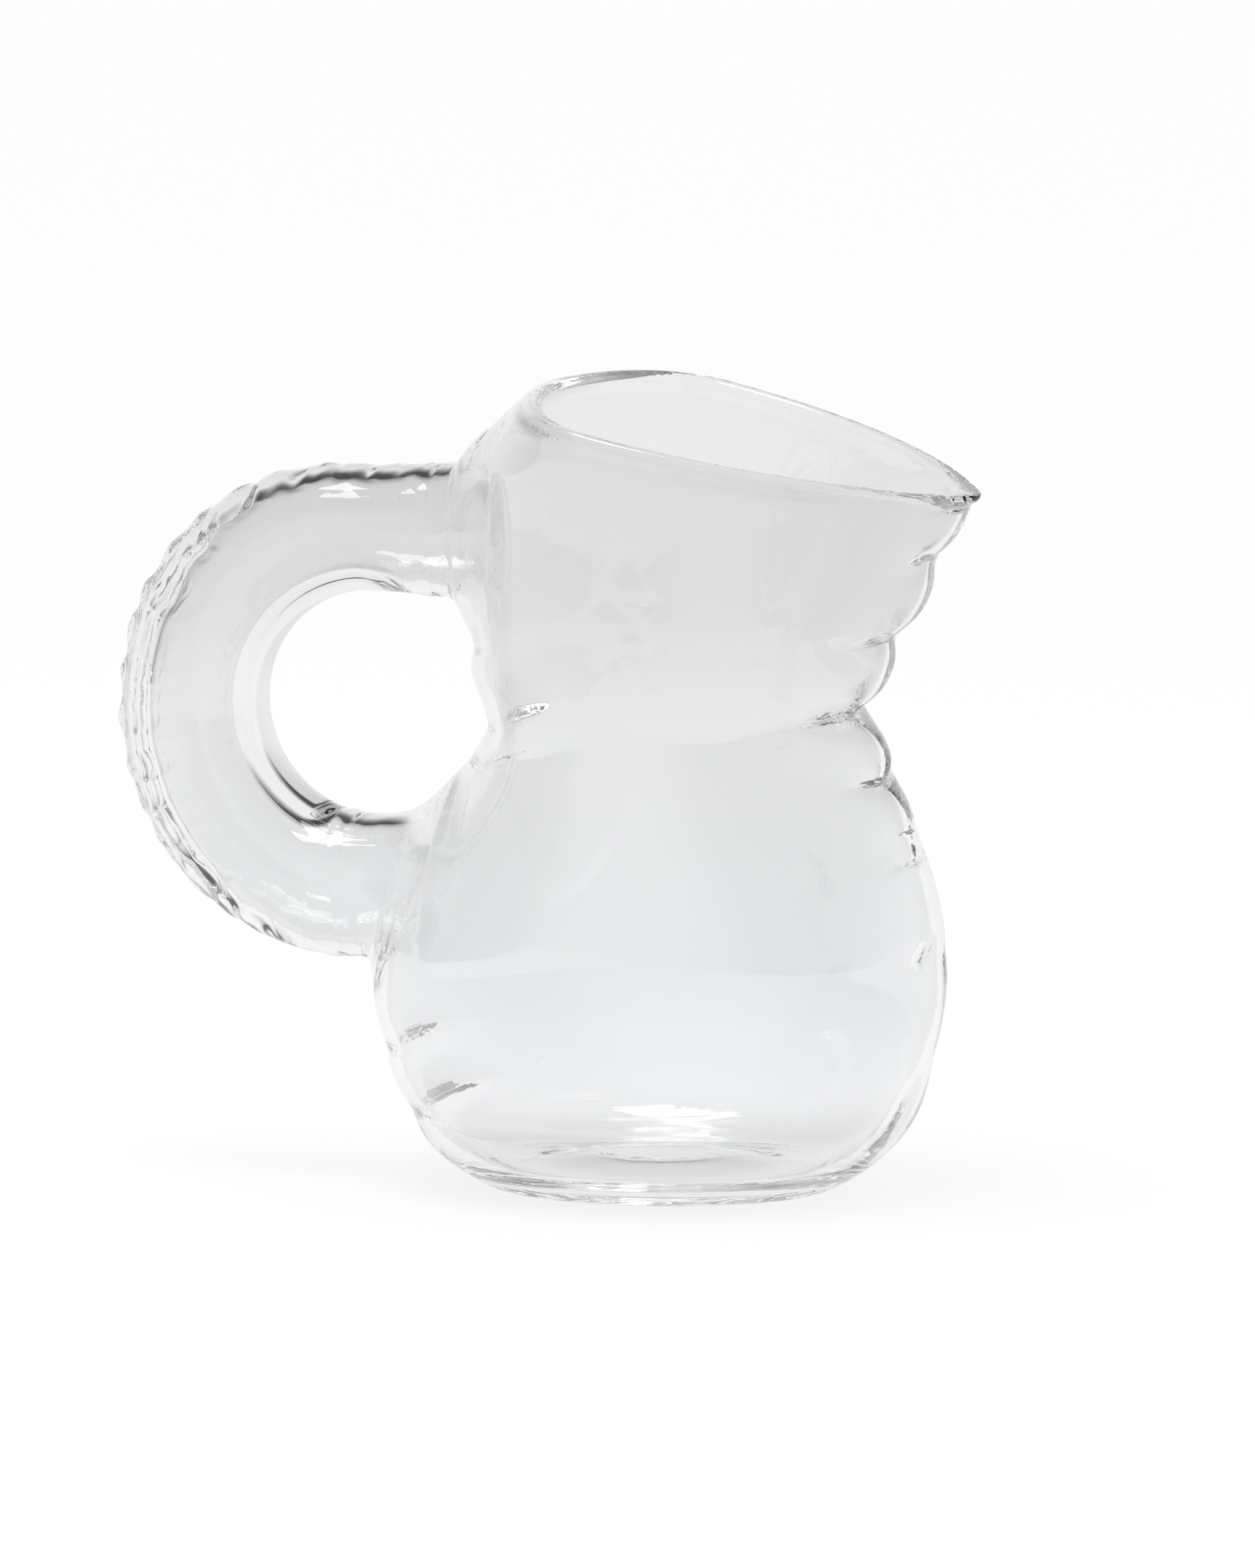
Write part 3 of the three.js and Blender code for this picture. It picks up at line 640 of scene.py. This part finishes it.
def sweep_nodes(tree):
    nodes, links = tree.nodes, tree.links
    given = nodes.new("NodeGroupInput").outputs

    def calc(operation, *values):
        return maths(tree, operation, *values)

    def add(a, b):
        return calc("ADD", a, b)

    def take(a, b):
        return calc("SUBTRACT", a, b)

    def times(first, *others):
        for other in others:
            first = calc("MULTIPLY", first, other)
        return first

    def over(a, b):
        return calc("DIVIDE", a, b)

    def bell(offset, spread):
        share = over(offset, spread)
        return calc("EXPONENT", times(share, share, -1.0))

    # A sheet whose long way runs out along the outside and back along the bore
    sheet = nodes.new("GeometryNodeMeshGrid")
    both_ways = times(given["Rings"], 2)
    put(tree, sheet.inputs["Size X"], 1.0)
    put(tree, sheet.inputs["Size Y"], 1.0)
    put(tree, sheet.inputs["Vertices X"], add(both_ways, 1))
    put(tree, sheet.inputs["Vertices Y"], add(given["Sides"], 1))
    sheet_place = nodes.new("ShaderNodeSeparateXYZ")
    links.new(nodes.new("GeometryNodeInputPosition").outputs[0], sheet_place.inputs[0])
    row = calc("ROUND", times(add(sheet_place.outputs["X"], 0.5), both_ways))
    row = calc("FLOORED_MODULO", row, both_ways)
    in_bore = calc("GREATER_THAN", row, take(given["Rings"], 0.5))
    outside_part = take(1.0, in_bore)
    last_ring = take(given["Rings"], 1)
    out_row = over(row, last_ring)
    back_row = over(take(take(both_ways, 1), row), last_ring)
    share = add(times(in_bore, back_row), times(outside_part, out_row))
    along = add(given["Start"], times(share, take(given["End"], given["Start"])))
    round_turn = times(add(sheet_place.outputs["Y"], 0.5), 2 * math.pi)
    from_seam = calc("ABSOLUTE", calc("WRAP", round_turn, math.pi, -math.pi))

    def noise(scale, offset):
        node = nodes.new("ShaderNodeTexNoise")
        node.noise_dimensions = "1D"
        put(tree, node.inputs["W"], add(times(along, scale), add(given["Seed"], offset)))
        put(tree, node.inputs["Scale"], 1.0)
        put(tree, node.inputs["Detail"], 1.0)
        return take(node.outputs["Fac"], 0.5)

    # The plain tube: its radius on the ring, and its flare along both legs
    ring_share = over(take(along, UPPER_LEG), RING_LENGTH)
    ring_share = calc("MINIMUM", calc("MAXIMUM", ring_share, 0.0), 1.0)
    turn = times(add(ring_share, 0.5), math.pi)
    up_leg = calc("MAXIMUM", take(UPPER_LEG, along), 0.0)
    down_leg = calc("MAXIMUM", take(along, LOWER_LEG_START), 0.0)
    rest_share = take(1.0, ring_share)
    twice_less = take(1.0, times(ring_share, 2.0))
    at_side = times(ring_share, rest_share, 4 * TUBE_SIDE)
    tube = add(times(rest_share, twice_less, TUBE_TOP), at_side)
    tube = take(tube, times(ring_share, twice_less, TUBE_BOTTOM))
    up_flare = calc("POWER", over(up_leg, UPPER_LEG), 3.0)
    flare = add(up_flare, calc("POWER", over(down_leg, LOWER_LEG), 3.0))
    tube = add(tube, times(flare, LEG_FLARE))
    middle = take(times(share, 2.0), 1.0)
    dome = calc("POWER", take(1.0, times(middle, middle)), 2.0)

    # Both ends keep the plain round section of the neck that they are fused to
    to_end = calc("MINIMUM", take(along, given["Start"]), take(given["End"], along))
    free = eased(tree, to_end, 0.0, given["End Fade"])

    # Puckers: dips at an uneven pitch, deepest on the outer seam
    wander = times(noise(*WANDER_NOISE), given["Wander"])
    phase = add(over(along, given["Pucker Pitch"]), wander)
    wave = calc("ABSOLUTE", calc("SINE", times(phase, math.pi)))
    dip = take(1.0, times(wave, wave))
    strength = add(1.0, times(noise(*PUCKER_NOISE), PUCKER_VARIETY))
    from_thickest = take(ring_share, THICKEST_AT)
    thick = add(LEAST_THICK, times(bell(from_thickest, THICK_RUN), 1 - LEAST_THICK))
    pucker = times(dip, strength, given["Pucker Depth"], bell(from_seam, given["Pucker Spread"]))
    pucker = times(pucker, free, add(LEAST_PUCKER, times(thick, 1 - LEAST_PUCKER)))
    slow = times(noise(*SLOW_NOISE), SLOW_DEPTH, bell(from_seam, SLOW_SPREAD), free)
    outside = add(take(add(tube, times(dome, given["Swell"])), pucker), slow)

    # The bore leaves the wall thick at the seam and at the hole
    uneven = add(1.0, times(noise(*WALL_NOISE), WALL_VARIETY))
    seam_wall = times(given["Seam Extra Wall"], free, thick, uneven)
    wall = add(given["Wall"], times(seam_wall, bell(from_seam, SEAM_SPREAD)))
    from_hole = take(from_seam, math.pi)
    wall = add(wall, times(given["Hole Extra Wall"], free, bell(from_hole, HOLE_SPREAD)))
    bore = take(tube, wall)
    radius = add(times(in_bore, bore), times(outside_part, outside))

    ring_out = add(times(calc("COSINE", round_turn), radius), RING_RADIUS)
    legs = add(up_leg, down_leg)
    x = add(add(times(calc("COSINE", turn), ring_out), legs), HOLE_CENTRE[0] + BODY_AXIS_X)
    z = add(times(calc("SINE", turn), ring_out), HOLE_CENTRE[1])
    outward = eased(tree, calc("COSINE", round_turn), PINCH_FROM, 1.0)
    drawn_in = take(1.0, times(given["Pinch"], free, thick, outward))
    spread = add(1.0, times(flare, LEG_SPREAD))
    y = times(calc("SINE", round_turn), radius, spread, drawn_in)
    point = nodes.new("ShaderNodeCombineXYZ")
    for name, value in zip("XYZ", (x, y, z)):
        put(tree, point.inputs[name], times(value, MM))

    placed = nodes.new("GeometryNodeSetPosition")
    links.new(sheet.outputs["Mesh"], placed.inputs["Geometry"])
    links.new(point.outputs[0], placed.inputs["Position"])
    closed = nodes.new("GeometryNodeMergeByDistance")
    put(tree, closed.inputs["Distance"], 0.004 * MM)
    links.new(placed.outputs[0], closed.inputs["Geometry"])
    smooth = nodes.new("GeometryNodeSetShadeSmooth")
    links.new(closed.outputs[0], smooth.inputs["Geometry"])
    real = nodes.new("GeometryNodeRealizeInstances")
    links.new(smooth.outputs[0], real.inputs["Geometry"])
    finish = nodes.new("GeometryNodeSetMaterial")
    links.new(real.outputs[0], finish.inputs["Geometry"])
    links.new(given["Glass"], finish.inputs["Material"])
    links.new(finish.outputs[0], nodes.new("NodeGroupOutput").inputs["Geometry"])


sweep_nodes(sweep)
CREASE_ANGLE = math.radians(55)
END_FACING = 0.97


def swept_piece(name, node, **settings):
    maker = bpy.data.objects.new(name + "_maker", bpy.data.meshes.new(name + "_maker"))
    scene.collection.objects.link(maker)
    modifier = maker.modifiers.new("sweep", "NODES")
    modifier.node_group = sweep
    for label, value in settings.items():
        modifier[SWEEP_INPUTS[label.replace("_", " ").title()].identifier] = value
    evaluated = maker.evaluated_get(bpy.context.evaluated_depsgraph_get())
    mesh = bpy.data.meshes.new_from_object(evaluated)
    bpy.data.objects.remove(maker)
    mesh.name = name
    mesh.set_sharp_from_angle(angle=CREASE_ANGLE)
    volume = sum(
        mesh.vertices[p.vertices[0]].co.dot(
            mesh.vertices[p.vertices[1]].co.cross(mesh.vertices[p.vertices[2]].co)
        )
        for p in mesh.polygons
    )
    if volume < 0:
        mesh.flip_normals()
    joint_slot = len(mesh.materials)
    mesh.materials.append(fused_joint)
    for face in mesh.polygons:
        out_x = face.center.x / MM - BODY_AXIS_X - HOLE_CENTRE[0]
        out_z = face.center.z / MM - HOLE_CENTRE[1]
        turn = math.atan2(out_z, min(out_x, 0))
        if abs(face.normal.x * math.sin(turn) - face.normal.z * math.cos(turn)) > END_FACING:
            face.material_index = joint_slot
    piece = bpy.data.objects.new(name, mesh)
    scene.collection.objects.link(piece)
    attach(piece, "root")
    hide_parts(node)


swept_piece(
    "handle",
    "handle_tube",
    start=UPPER_WELD_END + HAIRLINE,
    end=LOWER_WELD_END - WELD_WIDTH - HAIRLINE,
    rings=230,
    sides=96,
    wall=WALL_THICKNESS,
    seam_extra_wall=6.0,
    hole_extra_wall=3.6,
    swell=0.0,
    end_fade=12.0,
    pinch=0.6,
    pucker_pitch=8.0,
    pucker_depth=1.4,
    pucker_spread=0.42,
    wander=0.7,
    seed=4.0,
    glass=clear_glass("handle_glass", ripple_scale=60, streak_share=0.1, depth=0.00012),
)
weld_glass = clear_glass("weld_glass", ripple_scale=80, streak_share=0.3, depth=0.00014)
for weld_name, weld_node, weld_end in (
    ("upper_collar", "upper_weld", UPPER_WELD_END),
    ("lower_collar", "lower_weld", LOWER_WELD_END),
):
    swept_piece(
        weld_name,
        weld_node,
        start=weld_end - WELD_WIDTH,
        end=weld_end,
        rings=14,
        sides=96,
        wall=WALL_THICKNESS,
        seam_extra_wall=0.0,
        hole_extra_wall=0.0,
        swell=0.3,
        end_fade=3.0,
        pinch=0.0,
        pucker_pitch=6.2,
        pucker_depth=1.0,
        pucker_spread=0.4,
        wander=1.0,
        seed=9.0,
        glass=weld_glass,
    )

# Studio
# A white table that fades a little towards the camera, in a room that is bright
# behind the pitcher and behind the camera, and dark at the sides and overhead, with
# one wide soft lamp above: the dark parts draw the edges of the clear glass.
FLOOR_REACH, FLOOR_DROP = 12.0, 0.00005
TABLE_COLOUR, TABLE_GLOW = (0.9, 0.9, 0.9, 1), 0.85
FADE_END, FADE_START, FADED_GLOW = -3.2, -0.65, 0.75
floor_mesh = bpy.data.meshes.new("table")
corners = [(-1, -1), (1, -1), (1, 1), (-1, 1)]
floor_points = [(FLOOR_REACH * x, FLOOR_REACH * y, -FLOOR_DROP) for x, y in corners]
floor_mesh.from_pydata(floor_points, [], [(0, 1, 2, 3)])
floor = bpy.data.objects.new("table", floor_mesh)
scene.collection.objects.link(floor)

table_paint = bpy.data.materials.new("white_table")
table_paint.use_nodes = True
table_tree = table_paint.node_tree
nodes, links = table_tree.nodes, table_tree.links
paint = nodes["Principled BSDF"]
paint.inputs["Base Color"].default_value = TABLE_COLOUR
paint.inputs["Roughness"].default_value = 0.8
table_place = nodes.new("ShaderNodeSeparateXYZ")
links.new(nodes.new("ShaderNodeTexCoord").outputs["Object"], table_place.inputs[0])
glow = nodes.new("ShaderNodeEmission")
table_light = eased(table_tree, table_place.outputs["Y"], FADE_END, FADE_START, FADED_GLOW, 1.0)
links.new(table_light, glow.inputs["Strength"])
path = nodes.new("ShaderNodeLightPath").outputs
seen = maths(table_tree, "MAXIMUM", path["Is Camera Ray"], path["Is Glossy Ray"])
seen = maths(table_tree, "MAXIMUM", seen, path["Is Transmission Ray"])
blend = nodes.new("ShaderNodeMixShader")
links.new(maths(table_tree, "MULTIPLY", seen, TABLE_GLOW), blend.inputs["Fac"])
links.new(paint.outputs[0], blend.inputs[1])
links.new(glow.outputs[0], blend.inputs[2])
links.new(blend.outputs[0], nodes["Material Output"].inputs["Surface"])
floor_mesh.materials.append(table_paint)

world = bpy.data.worlds.new("studio")
scene.world = world
world.use_nodes = True
room_tree = world.node_tree
nodes, links = room_tree.nodes, room_tree.links
toward = nodes.new("ShaderNodeSeparateXYZ")
links.new(nodes.new("ShaderNodeTexCoord").outputs["Generated"], toward.inputs[0])
# Light from each part of the room: (from this direction, to this one, light at each)
BACK_WALL, DARK_CEILING = (-0.3, 0.85, 0.1, 1.0), (0.15, 0.6, 1.0, 0.06)
BEHIND_CAMERA = (-1.0, -0.5, 0.75, 0.0)
back_wall = eased(room_tree, toward.outputs["Y"], *BACK_WALL)
ceiling = eased(room_tree, toward.outputs["Z"], *DARK_CEILING)
behind_camera = eased(room_tree, toward.outputs["Y"], *BEHIND_CAMERA)
far_side = maths(room_tree, "MULTIPLY", back_wall, ceiling)
room = maths(room_tree, "MAXIMUM", far_side, behind_camera)

# The table's own paint is lit evenly from all round
path = nodes.new("ShaderNodeLightPath").outputs
room_light = maths(room_tree, "MAXIMUM", room, path["Is Diffuse Ray"])
links.new(room_light, nodes["Background"].inputs["Strength"])
nodes["Background"].inputs["Color"].default_value = (1, 1, 1, 1)

LAMP_PLACE, LAMP_AIM = Vector((-0.1, -0.12, 1.2)), Vector((-0.02, 0, 0.1))
LAMP_LENGTH, LAMP_WIDTH, LAMP_POWER = 0.62, 0.42, 5.7
lamp_data = bpy.data.lights.new("overhead_lamp", "AREA")
lamp_data.shape = "RECTANGLE"
lamp_data.size, lamp_data.size_y = LAMP_LENGTH, LAMP_WIDTH
lamp_data.energy = LAMP_POWER
lamp = bpy.data.objects.new("overhead_lamp", lamp_data)
lamp.location = LAMP_PLACE
lamp.rotation_euler = (LAMP_AIM - LAMP_PLACE).to_track_quat("-Z", "Y").to_euler()
scene.collection.objects.link(lamp)

# Light turns many times inside a thick edge before it leaves the glass
MOST_TURNS, SURE_TURNS = 128, 16
scene.cycles.max_bounces = MOST_TURNS
scene.cycles.transmission_bounces = MOST_TURNS
scene.cycles.glossy_bounces = MOST_TURNS
scene.cycles.min_light_bounces = SURE_TURNS
